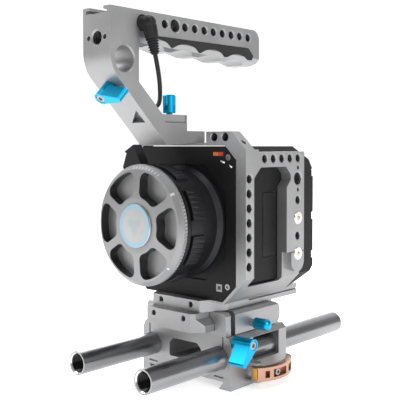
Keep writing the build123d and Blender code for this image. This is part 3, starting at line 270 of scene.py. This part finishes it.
# %% Raised bars
def bars(name, starts, ends, out, width, rise, body, slot):
    """Rounded bars: a point is start + s * (end - start) + width * cos t * side + rise * sin t * out, and
    both width and rise swell from nothing at s = 0 and shrink to nothing at s = 1."""
    starts, ends, out = (np.atleast_2d(np.asarray(a, float)) for a in (starts, ends, out))
    s = np.array([0, 0.02, 0.07, 0.5, 0.93, 0.98, 1])[None, :, None, None]
    swell = np.array([0, 0.65, 1, 1, 1, 0.65, 0])[None, :, None, None]
    t = (np.arange(8) * np.pi / 4)[None, None, :, None]
    length = ends - starts
    side = np.cross(length, out)
    side /= np.linalg.norm(side, axis=1, keepdims=True)
    section = width * np.cos(t) * spread(side) + rise * np.sin(t) * spread(out)
    points = spread(starts) + s * spread(length) + swell * section
    return grid_piece(name, points, body, slot, smooth=50.0)


LUGS, RIBS = 8, 6
LUG_RADIUS = 38.15
lug_angle = np.radians(22 + np.arange(LUGS) * 360 / LUGS)[:, None]
rib_angle = (lug_angle + np.radians(np.linspace(-12.5, 12.5, RIBS))[None, :]).ravel()
out = np.column_stack([np.cos(rib_angle), 0 * rib_angle, np.sin(rib_angle)])
rim = out * LUG_RADIUS + [0, 0, LENS_Z]
bars("lock_ring_ribs", rim + [0, -63.6, 0], rim + [0, -53.9, 0], out, 0.75, 0.55, "lock_ring", "black_metal")

# %% [markdown]
# ## Finger ridges on the port plug
# The plug at the camera's control port has sixteen straight ridges round it. They use the
# same rounded bars, laid along the plug's axis.

# %% Plug ridges
def ring_of_bars(name, centre, axis, radius, low, high, count, width, rise, body, slot):
    """Bars parallel to the axis, evenly spaced round it, from distance low to distance high."""
    unit, first, second = across(axis)
    turn = (np.arange(count) * 2 * np.pi / count)[:, None]
    out = np.cos(turn) * first + np.sin(turn) * second
    foot = np.asarray(centre, float) + radius * out
    return bars(name, foot + low * unit, foot + high * unit, out, width, rise, body, slot)


ring_of_bars("plug_finger_ridges", (-45.5, -6.0, 122.0), (-1, 0, 0), 5.55, 3.2, 8.4, 16, 0.5, 0.4,
             "camera_sled", "black_plastic")

# %% [markdown]
# ## The trigger cable
# The cable leaves the angle plug on the handle, hangs down behind the front arm, crosses to the far side
# of the cage and goes into the camera's control port. It is a real length of round cord, so it is a
# curve: one NURBS line through the same route that the machined model uses, with a round bevel.

# %% Cable curve
ROUTE = [(18.0, -76.8, 212.0), (18.0, -73.6, 200.6), (14.5, -69.0, 189.6), (3.5, -59.0, 182.4),
         (-9.0, -54.5, 180.6), (-20.0, -49.5, 176.4), (-27.0, -40.0, 171.0), (-33.0, -29.0, 169.4),
         (-42.0, -19.0, 164.0), (-53.0, -12.0, 154.0), (-61.0, -9.0, 143.0), (-66.0, -8.0, 132.5),
         (-66.5, -7.0, 123.6), (-59.0, -6.0, 122.0)]
CABLE_RADIUS = 1.4
line = bpy.data.curves.new("trigger_cord", "CURVE")
line.dimensions = "3D"
line.bevel_depth = 1.0
line.bevel_resolution = 5
line.resolution_u = 10
spline = line.splines.new("NURBS")
spline.points.add(len(ROUTE) - 1)
route = np.column_stack([np.array(ROUTE) * MM, np.ones(len(ROUTE))])
spline.points.foreach_set("co", route.ravel())
spline.points.foreach_set("radius", np.full(len(ROUTE), CABLE_RADIUS * MM))
spline.order_u = 3
spline.use_endpoint_u = True
cord = bpy.data.objects.new("trigger_cord", line)
scene.collection.objects.link(cord)
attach(cord, "camera_sled")
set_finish(cord, "cable_black")
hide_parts("trigger_cable")
print("cable route points", len(ROUTE))

# %% [markdown]
# ## Strain relief
# Where the cable leaves the plug, a soft sleeve with ring-shaped ribs keeps it from kinking. The sleeve
# narrows as it goes, and the ribs are a sine wave added to that taper.

# %% Ribbed sleeve
def sleeve(name, start, end, wide, narrow, ribs, body):
    """Tapered sleeve: the radius falls evenly from wide to narrow and a rib of 0.6 mm rises ribs times."""
    start, end = np.array(start, float), np.array(end, float)
    length = np.linalg.norm(end - start)
    share = np.linspace(0, 1, ribs * 8 + 1)
    radius = wide + (narrow - wide) * share + 0.6 * np.clip(np.sin(2 * np.pi * ribs * share), -0.8, 0.5)
    profile = np.column_stack([radius, share * length])
    profile = np.vstack([[0, 0], profile, [0, length]])
    return turned(name, start, (end - start) / length, profile, body, "cable_black", 28, None, 40.0)


first, second = np.array(ROUTE[0]), np.array(ROUTE[1])
up = (first - second) / np.linalg.norm(first - second)
relief = sleeve("plug_strain_relief", first + 11.2 * up, first + 0.3 * up, 3.9, 2.6, 7, "camera_sled")
last, before = np.array(ROUTE[-1]), np.array(ROUTE[-2])
back = (last - before) / np.linalg.norm(last - before)
tail = sleeve("port_strain_relief", last + 1.6 * back, last - 3.0 * back, 3.3, 2.5, 3, "camera_sled")
ring_of_bars("angle_plug_ridges", first + 13.0 * up, up, 4.05, 0.0, 4.6, 14, 0.35, 0.3,
             "camera_sled", "black_plastic")

# %% [markdown]
# ## Brass centres of the ring screws
# The two large ring screws have a shiny rim and a small brass-coloured pin in the middle. The pin is a
# turned dome that sits in the socket of each screw, with a narrow groove round it.

# %% Screw centres
dome = [(0, 0.55), (0.8, 0.5), (1.15, 0.3), (1.25, 0.0), (1.3, -1.0), (0, -1.0)]
for count, z in enumerate(RING_SCREW_Z):
    face = (side_x + 0.15, REAR_Y, z)
    turned("ring_screw_pin_%d" % count, face, (1, 0, 0), dome, "camera_sled", "gold_contact", 24)

# %% [markdown]
# ## Two spring clips
# Two small bright clips lie on the front plate beside its upper right screw. Each is a bent strip: the
# height follows half a sine wave along its length, and the Solidify modifier gives it a sheet's thickness.

# %% Bent strips
def strip(name, start, end, width, lift, body, slot):
    """Sheet bent up in the middle: a point is start + s * (end - start) + t * width * side, moved
    forward along Y by lift * sin(pi s)."""
    start, end = np.array(start, float), np.array(end, float)
    side = np.cross(end - start, (0, -1, 0))
    side /= np.linalg.norm(side)
    s, t = np.linspace(0, 1, 13)[:, None, None], np.linspace(-0.5, 0.5, 4)[None, :, None]
    points = start + s * (end - start) + t * width * side + [0, -1, 0] * (lift * np.sin(np.pi * s) + 0.02)
    piece = grid_piece(name, points, body, slot, wrap=False, closed=False)
    sheet = piece.modifiers.new("thickness", "SOLIDIFY")
    sheet.thickness, sheet.offset = 0.25 * MM, 0
    return piece


plate_y = 1000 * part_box("camera_front_plate")[0].y - 0.15
for word, start, end, lift in (("upper", (33.2, plate_y, 147.4), (37.0, plate_y, 146.2), 0.7),
                               ("lower", (40.6, plate_y, 144.8), (43.0, plate_y, 143.4), 0.6)):
    strip("front_clip_" + word, start, end, 1.3, lift, "camera_sled", "polished_steel")

# %% [markdown]
# # Finishes
# A finish is a small network of nodes that ends in one Principled shader. To keep it readable, an output
# socket is wrapped in a class that knows how to add and multiply, so `1 - mask` simply adds a Math node.
# Patterns are measured in the object's own coordinates, in metres, so nothing slides when a part moves.

# %% Sockets that do sums
class Wire:
    """One node output; each sum on it adds one Math node to the same finish."""

    def __init__(self, finish, socket):
        self.finish, self.socket = finish, socket

    def sum(self, operation, left, right):
        return self.finish.node("ShaderNodeMath", {"operation": operation}, {0: left, 1: right})

    def __add__(self, other):
        return self.sum("ADD", self, other)

    def __radd__(self, other):
        return self.sum("ADD", other, self)

    def __sub__(self, other):
        return self.sum("SUBTRACT", self, other)

    def __rsub__(self, other):
        return self.sum("SUBTRACT", other, self)

    def __mul__(self, other):
        return self.sum("MULTIPLY", self, other)

    def __rmul__(self, other):
        return self.sum("MULTIPLY", other, self)

    def __pow__(self, other):
        return self.sum("POWER", self, other)

    def __abs__(self):
        return self.sum("ABSOLUTE", self, 0.0)


class Finish:
    """A material with its Principled shader, and the few patterns that the finishes share."""

    def __init__(self, name, metallic, **constants):
        self.material = bpy.data.materials.new(name)
        self.material.use_nodes = True
        self.tree = self.material.node_tree
        self.shader = self.tree.nodes["Principled BSDF"]
        self.shader.inputs["Metallic"].default_value = metallic
        for socket, value in constants.items():
            self.shader.inputs[socket.replace("_", " ").title().replace("Ior", "IOR")].default_value = value
        self.place = self.node("ShaderNodeTexCoord", out="Object")
        self.x, self.y, self.z = (self.node("ShaderNodeSeparateXYZ", inputs={0: self.place}, out=i)
                                  for i in range(3))

    def node(self, kind, settings=None, inputs=None, out=0):
        """Adds a node: its settings first, then the values or wires of its sockets. Gives one output."""
        made = self.tree.nodes.new(kind)
        for key, value in (settings or {}).items():
            setattr(made, key, value)
        for key, value in (inputs or {}).items():
            if isinstance(value, Wire):
                self.tree.links.new(value.socket, made.inputs[key])
            else:
                made.inputs[key].default_value = value
        return Wire(self, made.outputs[out])

    def feed(self, socket, value):
        if isinstance(value, Wire):
            self.tree.links.new(value.socket, self.shader.inputs[socket])
        else:
            self.shader.inputs[socket].default_value = (*value, 1) if isinstance(value, tuple) else value

    def step(self, value, low, high):
        """0 below low, 1 above high, and a smooth rise between."""
        return self.node("ShaderNodeMapRange", {"interpolation_type": "SMOOTHSTEP"},
                         {"Value": value, "From Min": low, "From Max": high})

    def near(self, value, centre, half, soft=0.00008):
        """1 where value lies within half of centre."""
        return 1 - self.step(abs(value - centre), half - soft, half + soft)

    def mix(self, amount, first, second):
        wires = {0: amount}
        for socket, colour in ((6, first), (7, second)):
            wires[socket] = colour if isinstance(colour, Wire) else (*colour, 1)
        return self.node("ShaderNodeMix", {"data_type": "RGBA"}, wires, out=2)

    def noise(self, scale, detail=3.0, stretch=None):
        where = self.place
        if stretch:
            where = self.node("ShaderNodeVectorMath", {"operation": "MULTIPLY"}, {0: where, 1: stretch})
        return self.node("ShaderNodeTexNoise", None, {"Vector": where, "Scale": scale, "Detail": detail})

    def length(self, a, b):
        return (a * a + b * b) ** 0.5

    def edges(self, radius):
        """Rounded normals for the machined edges, and a mask that is 1 right on them."""
        rounded = self.node("ShaderNodeBevel", {"samples": 4}, {"Radius": radius})
        flat = self.node("ShaderNodeNewGeometry", out="Normal")
        same = self.node("ShaderNodeVectorMath", {"operation": "DOT_PRODUCT"}, {0: rounded, 1: flat},
                         out="Value")
        return rounded, self.step(1 - same, 0.015, 0.2)

    def bump(self, height, depth, strength, normal=None):
        wires = {"Height": height, "Distance": depth, "Strength": strength}
        if normal is not None:
            wires["Normal"] = normal
        self.feed("Normal", self.node("ShaderNodeBump", None, wires))


print("finish tools ready")

# %% [markdown]
# ## Blasted and anodised aluminium
# The cage, handle and plates are machined, bead-blasted and anodised grey. Blasting leaves tiny dents, so
# the bump is fine noise; anodising mutes the shine, so the roughness is middling; the edges are rounded in
# the shading, a little shinier, and painted lighter as a highlight. One recipe serves every anodised colour.

# %% Anodised metal
def shade(colour, factor):
    return tuple(min(1.0, c * factor) for c in colour)


def anodised(name, colour, rough, grain=5200.0, depth=0.00003, edge=0.0002, edge_highlight_gain=1.35, strength=0.35,
             metallic=1.0):
    """Metal finish: cloudy colour, blasted grain, rounded and slightly shinier edges with a painted
    highlight.
    """
    f = Finish(name, metallic)
    cloud = f.noise(38.0, 4.0)
    grain_noise = f.noise(grain, 2.0)
    rounded, painted_edge_highlight = f.edges(edge)
    dust = f.step(cloud, 0.3, 0.75)
    f.colour = f.mix(dust, shade(colour, 0.93), shade(colour, 1.05))
    f.colour = f.mix(f.step(grain_noise, 0.35, 0.7) * 0.35, f.colour, shade(colour, 0.8))
    # Painted highlight: the colour on the rounded edges is made lighter.
    f.colour = f.mix(painted_edge_highlight * 0.8, f.colour, shade(colour, edge_highlight_gain))
    f.rough = rough + 0.1 * (cloud - 0.5) - 0.1 * painted_edge_highlight
    f.rounded, f.grain, f.depth, f.strength = rounded, grain_noise, depth, strength
    return f


def close(f):
    """Joins the finish's colour, roughness and grain to its shader."""
    f.feed("Base Color", f.colour)
    f.feed("Roughness", f.rough)
    f.bump(f.grain, f.depth, f.strength, f.rounded)
    return f.material


GREY = (0.42, 0.42, 0.425)
finish = {}
finish["grey_anodised"] = close(anodised("grey_anodised", GREY, 0.46, metallic=0.8))
BLUE, COPPER = (0.015, 0.42, 0.72), (0.56, 0.33, 0.24)
finish["blue_anodised"] = close(anodised("blue_anodised", BLUE, 0.3, 5200, 0.00001, 0.00025, 1.6))
finish["copper_anodised"] = close(anodised("copper_anodised", COPPER, 0.32, 5200, 0.00002, 0.0002, 1.5))
finish["gold_anodised"] = close(anodised("gold_anodised", (0.75, 0.42, 0.07), 0.3))
BLACK = (0.02, 0.02, 0.022)
finish["black_metal"] = close(anodised("black_metal", BLACK, 0.4, 5200, 0.00002, 0.00025, 3.0, 0.3, 0.5))
print("anodised finishes", sorted(finish))

# %% [markdown]
# ## Support rods
# A rod is drawn tube: long faint lines run along it, and its two mouths are cut bright. The lines are noise
# stretched a hundred times along Y. The bright mouth is a mask on the distance from the rod's own axis.

# %% Drawn tube
f = anodised("rod_anodised", (0.34, 0.34, 0.35), 0.3, 3000, 0.00001, 0.0003, 1.5)
lines = f.noise(2600.0, 2.0, (1.0, 0.012, 1.0))
from_axis = f.length(abs(f.x) - ROD_X * MM, f.z - ROD_Z * MM)
mouth = 1 - f.step(from_axis, 0.00655, 0.0069)
deep = f.near(f.y, -0.0993, 0.006, 0.003) + f.near(f.y, 0.1039, 0.006, 0.003)
f.colour = f.mix(f.step(lines, 0.4, 0.7) * 0.3, f.colour, (0.26, 0.26, 0.27))
f.colour = f.mix(mouth * deep, f.colour, (0.72, 0.72, 0.72))
# Painted shade: within 5.8 mm of the rod's axis, inside the bore, the colour is near-black.
f.colour = f.mix(1 - f.step(from_axis, 0.00575, 0.0059), f.colour, (0.03, 0.03, 0.03))
f.rough = f.rough + 0.14 * (lines - 0.5) - 0.1 * mouth
f.grain = lines
finish["rod_anodised"] = close(f)

# %% [markdown]
# ## The port cap
# The cap is turned on a lathe, so its face shows fine rings, and its pockets are milled; painted shade
# makes their walls dark. White ticks, a small square and a dot are engraved on the coned rim. All of these
# are
# masks on two numbers: the distance from the lens axis and the angle round it.

# %% Turned cap with engraved ticks
f = anodised("cap_grey", (0.36, 0.36, 0.365), 0.42, 4200, 0.00001, 0.00025, 1.35, metallic=0.7)
dz = f.z - LENS_Z * MM
radius = f.length(f.x, dz)
angle = f.node("ShaderNodeMath", {"operation": "ARCTAN2"}, {0: dz, 1: f.x})
rings = f.node("ShaderNodeMath", {"operation": "SINE"}, {0: radius * 14000.0})
facing = f.node("ShaderNodeSeparateXYZ", inputs={0: f.node("ShaderNodeNewGeometry", out="Normal")}, out=1)
# Painted shade: the side walls of the pockets, inside the rim, are painted near-black.
wall = (1 - f.step(abs(facing), 0.25, 0.6)) * (1 - f.step(radius, 0.0343, 0.0346))
f.colour = f.mix(wall * 0.9, f.colour, (0.028, 0.028, 0.03))
shoulder = f.step(f.y, -0.0698, -0.0696) * f.step(radius, 0.0352, 0.0354)
f.colour = f.mix(shoulder, f.colour, (0.02, 0.02, 0.022))
beat = f.node("ShaderNodeMath", {"operation": "PINGPONG"}, {0: angle, 1: np.radians(2.2)})
tick = (1 - f.step(beat, 0.006, 0.009)) * f.near(angle, np.radians(78), np.radians(20), 0.004)
tick = tick * f.near(radius, 0.0364, 0.0007)
square = f.near(angle, np.radians(35), 0.024, 0.003) * f.near(radius, 0.0361, 0.001)
dot = 1 - f.step(f.length(f.x - 0.0262, dz + 0.0246), 0.0005, 0.0007)
paint = f.node("ShaderNodeMath", {"operation": "MAXIMUM"}, {0: tick, 1: square + dot})
f.colour = f.mix(paint * f.step(0 - facing, 0.5, 0.8), f.colour, (0.95, 0.95, 0.95))
f.rough = f.rough + 0.04 * rings
f.grain = rings * 0.3 + f.grain
finish["cap_grey"] = close(f)

f = anodised("badge", (0.5, 0.5, 0.5), 0.3, 4200, 0.00001, 0.0004, 1.3)
badge_z = f.z - LENS_Z * MM
badge_radius = f.length(f.x, badge_z)
ring = f.step(badge_radius, 0.0106, 0.0109) * (1 - f.step(badge_radius, 0.01345, 0.0136))
turn_round = f.node("ShaderNodeMath", {"operation": "ARCTAN2"}, {0: badge_z, 1: f.x})
petals = f.node("ShaderNodeMath", {"operation": "SINE"}, {0: 3.0 * turn_round})
leaf = 1 - f.step(badge_radius, 0.0045 + 0.0018 * petals, 0.0048 + 0.0018 * petals)
f.colour = f.mix(ring, f.colour, (0.36, 0.54, 0.64))
f.colour = f.mix(leaf * 0.3, f.colour, (0.3, 0.42, 0.5))
f.rough = f.rough + 0.12 * ring
finish["badge"] = close(f)
print("turned finishes done")

# %% [markdown]
# ## Black paint of the camera
# The camera body has a fine crinkled paint. A Voronoi pattern gives the crinkles and noise varies the
# gloss. The front plate carries three plain signs: a grey square, a white triangle and an orange bar.

# %% Crinkle paint and the signs on the front
def crinkle(name, colour, rough, scale=2600.0, depth=0.00004):
    f = Finish(name, 0.0, specular_ior_level=0.25)
    cells = f.node("ShaderNodeTexVoronoi", None, {"Vector": f.place, "Scale": scale})
    cloud = f.noise(55.0, 3.0)
    f.rounded, painted_edge_highlight = f.edges(0.0003)
    f.colour = f.mix(f.step(cloud, 0.3, 0.8), shade(colour, 0.85), shade(colour, 1.2))
    # Painted highlight: the colour on the rounded edges is made lighter.
    f.colour = f.mix(painted_edge_highlight * 0.6, f.colour, shade(colour, 2.6))
    f.rough = rough + 0.12 * (cloud - 0.5) + 0.05 * cells
    f.grain, f.depth, f.strength = cells, depth, 0.4
    return f


f = crinkle("camera_black", (0.009, 0.009, 0.010), 0.5)
front = 1 - f.step(f.y, -0.0339, -0.0335)
grey_square = f.near(f.x, 0.032, 0.0024) * f.near(f.z, 0.066, 0.0024)
hollow = f.near(f.x, 0.032, 0.0012) * f.near(f.z, 0.066, 0.0012)
slope = 0.5 * (f.x - 0.0303)
triangle = (1 - f.step(abs(f.z - 0.1075) + slope, 0.0012, 0.0014)) * f.step(f.x, 0.0302, 0.0304)
orange = f.near(f.x, 0.0312, 0.0042) * f.near(f.z, 0.1517, 0.0012)
red = orange * f.step(f.x, 0.0312, 0.0314)
f.colour = f.mix(front * grey_square, f.colour, (0.42, 0.42, 0.42))
f.colour = f.mix(front * grey_square * hollow, f.colour, (0.06, 0.06, 0.06))
f.colour = f.mix(front * triangle, f.colour, (0.9, 0.9, 0.9))
f.colour = f.mix(front * orange, f.colour, (0.75, 0.2, 0.06))
f.colour = f.mix(front * red, f.colour, (0.6, 0.07, 0.03))
finish["camera_black"] = close(f)
finish["black_plastic"] = close(crinkle("black_plastic", (0.012, 0.012, 0.013), 0.42, 4200.0, 0.00002))
finish["red_plastic"] = close(crinkle("red_plastic", (0.45, 0.03, 0.04), 0.32, 4200.0, 0.00001))

# %% [markdown]
# ## Grip, cable and small metal
# The grip panel is moulded with a fine weave of crossed ridges. The cable's sheath is soft and a bit dusty.
# Screws are turned steel with faint rings, which is the anodised recipe with a sharper shine.

# %% The remaining finishes
f = crinkle("grip_black", (0.026, 0.026, 0.027), 0.55, 1500.0, 0.00006)
weave = f.node("ShaderNodeTexWave", {"wave_type": "BANDS", "bands_direction": "DIAGONAL"},
               {"Vector": f.place, "Scale": 420.0, "Distortion": 0.4})
f.grain = f.grain * 0.4 + weave
finish["grip_black"] = close(f)
f = crinkle("cable_black", (0.018, 0.018, 0.019), 0.45, 3200.0, 0.00001)
finish["cable_black"] = close(f)
finish["steel"] = close(anodised("steel", (0.42, 0.42, 0.43), 0.4, 4200, 0.00001, 0.00012, 1.3))
SILVER, BRASS = (0.8, 0.8, 0.81), (0.72, 0.5, 0.22)
finish["polished_steel"] = close(anodised("polished_steel", SILVER, 0.12, 4200, 0.000004, 0.00015, 1.1))
finish["gold_contact"] = close(anodised("gold_contact", BRASS, 0.34, 4200, 0.000004, 0.00015, 1.2))
f = crinkle("board_green", (0.02, 0.13, 0.06), 0.35, 900.0, 0.00001)
track = f.node("ShaderNodeTexBrick", {"offset": 0.3},
               {"Vector": f.place, "Scale": 160.0, "Mortar Size": 0.03}, out=1)
f.colour = f.mix(track * 0.8, f.colour, (0.05, 0.3, 0.14))
finish["board_green"] = close(f)
f = Finish("filter_glass", 0.0, transmission_weight=0.6, ior=1.5)
sheen = f.noise(60.0, 2.0)
f.feed("Base Color", f.mix(sheen, (0.5, 0.78, 0.84), (0.62, 0.7, 0.86)))
f.feed("Roughness", 0.04 + 0.05 * sheen)
finish["filter_glass"] = f.material
print("finishes", len(finish))

# %% Giving every piece its finish
for name, node in frame["nodes"].items():
    node.data.materials.clear()
    node.data.materials.append(finish[slot_of[name]])
painted = 0
for piece in scene.objects:
    if piece.type in ("MESH", "CURVE") and piece.name not in frame["nodes"]:
        piece.data.materials.clear()
        piece.data.materials.append(finish[piece["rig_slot"]])
        painted += 1
print("new pieces painted", painted)

# %% [markdown]
# # Floor, lights and camera
# The rig stands on a pale sweep: a floor that curves up behind into a wall, so no horizon shows. Large
# soft lamps make the long, even reflections that satin metal needs, and one smaller lamp draws the edges.

# %% Pale sweep
floor_z = cad_low.z
turn = np.linspace(0, np.pi / 2, 16)
curve = np.column_stack([2.2 + 1.2 * np.sin(turn), 1.2 - 1.2 * np.cos(turn)])
side_line = np.vstack([[-4.0, 0.0], curve, [3.4, 5.0]])
AHEAD = (-0.651, 0.759)      # the way the camera looks, seen from above
view = np.array(AHEAD)
wide = np.linspace(-4, 4, 9)[None, :]
sweep = np.zeros((1, len(side_line), 9, 3))
sweep[0, :, :, 0] = side_line[:, :1] * view[0] + wide * view[1]
sweep[0, :, :, 1] = side_line[:, :1] * view[1] - wide * view[0]
sweep[0, :, :, 2] = floor_z + side_line[:, 1:]
mesh = bpy.data.meshes.new("sweep")
rows, columns = sweep.shape[1:3]
corner = (np.arange(rows - 1)[:, None] * columns + np.arange(columns - 1)[None, :]).ravel()
mesh.from_pydata(sweep.reshape(-1, 3).tolist(), [],
                 np.column_stack([corner, corner + columns, corner + columns + 1, corner + 1]).tolist())
mesh.shade_smooth()
floor = bpy.data.objects.new("sweep", mesh)
scene.collection.objects.link(floor)
f = Finish("paper", 0.0, emission_strength=0.5)
paper = f.noise(9.0, 2.0)
f.feed("Base Color", f.mix(paper, (0.9, 0.9, 0.9), (0.92, 0.92, 0.92)))
f.feed("Emission Color", (1.0, 1.0, 1.0))
f.feed("Roughness", 0.8 + 0.1 * paper)
mesh.materials.append(f.material)

# %% Soft lamps
world = bpy.data.worlds.new("studio")
world.use_nodes = True
world.node_tree.nodes["Background"].inputs["Color"].default_value = (1, 1, 1, 1)
world.node_tree.nodes["Background"].inputs["Strength"].default_value = 0.34
scene.world = world
middle = Vector((0, 0, 0.12))
LAMPS = {"key": ((-0.9, -0.7, 1.05), 0.7, 7.5), "side": ((1.25, -0.1, 0.75), 0.8, 7.5),
         "top": ((0.0, 0.1, 1.4), 0.9, 11.0), "back": ((-0.9, 0.8, 0.7), 0.8, 6.0)}
for name, (spot, width, power) in LAMPS.items():
    lamp = bpy.data.lights.new(name, "AREA")
    lamp.shape, lamp.size, lamp.energy = "SQUARE", width, power
    holder = bpy.data.objects.new(name, lamp)
    holder.location = spot
    holder.rotation_euler = (middle - Vector(spot)).to_track_quat("-Z", "Y").to_euler()
    scene.collection.objects.link(holder)
print("lamps", len(LAMPS))

# %% Camera
lens = bpy.data.cameras.new("view")
lens.lens, lens.sensor_width = 69.96, 36.0
lens.shift_x, lens.shift_y = -0.053, -0.075
lens.clip_start, lens.clip_end = 0.02, 30
eye = bpy.data.objects.new("view", lens)
dip = np.radians(1.878)
look = Vector((AHEAD[0] * np.cos(dip), AHEAD[1] * np.cos(dip), -np.sin(dip)))
eye.location = (0.355, -0.4085, 0.1577)
eye.rotation_euler = look.to_track_quat("-Z", "Y").to_euler()
scene.collection.objects.link(eye)
scene.camera = eye
scene.view_settings.view_transform = "Standard"

# %% Update the view layer
bpy.context.view_layer.update()
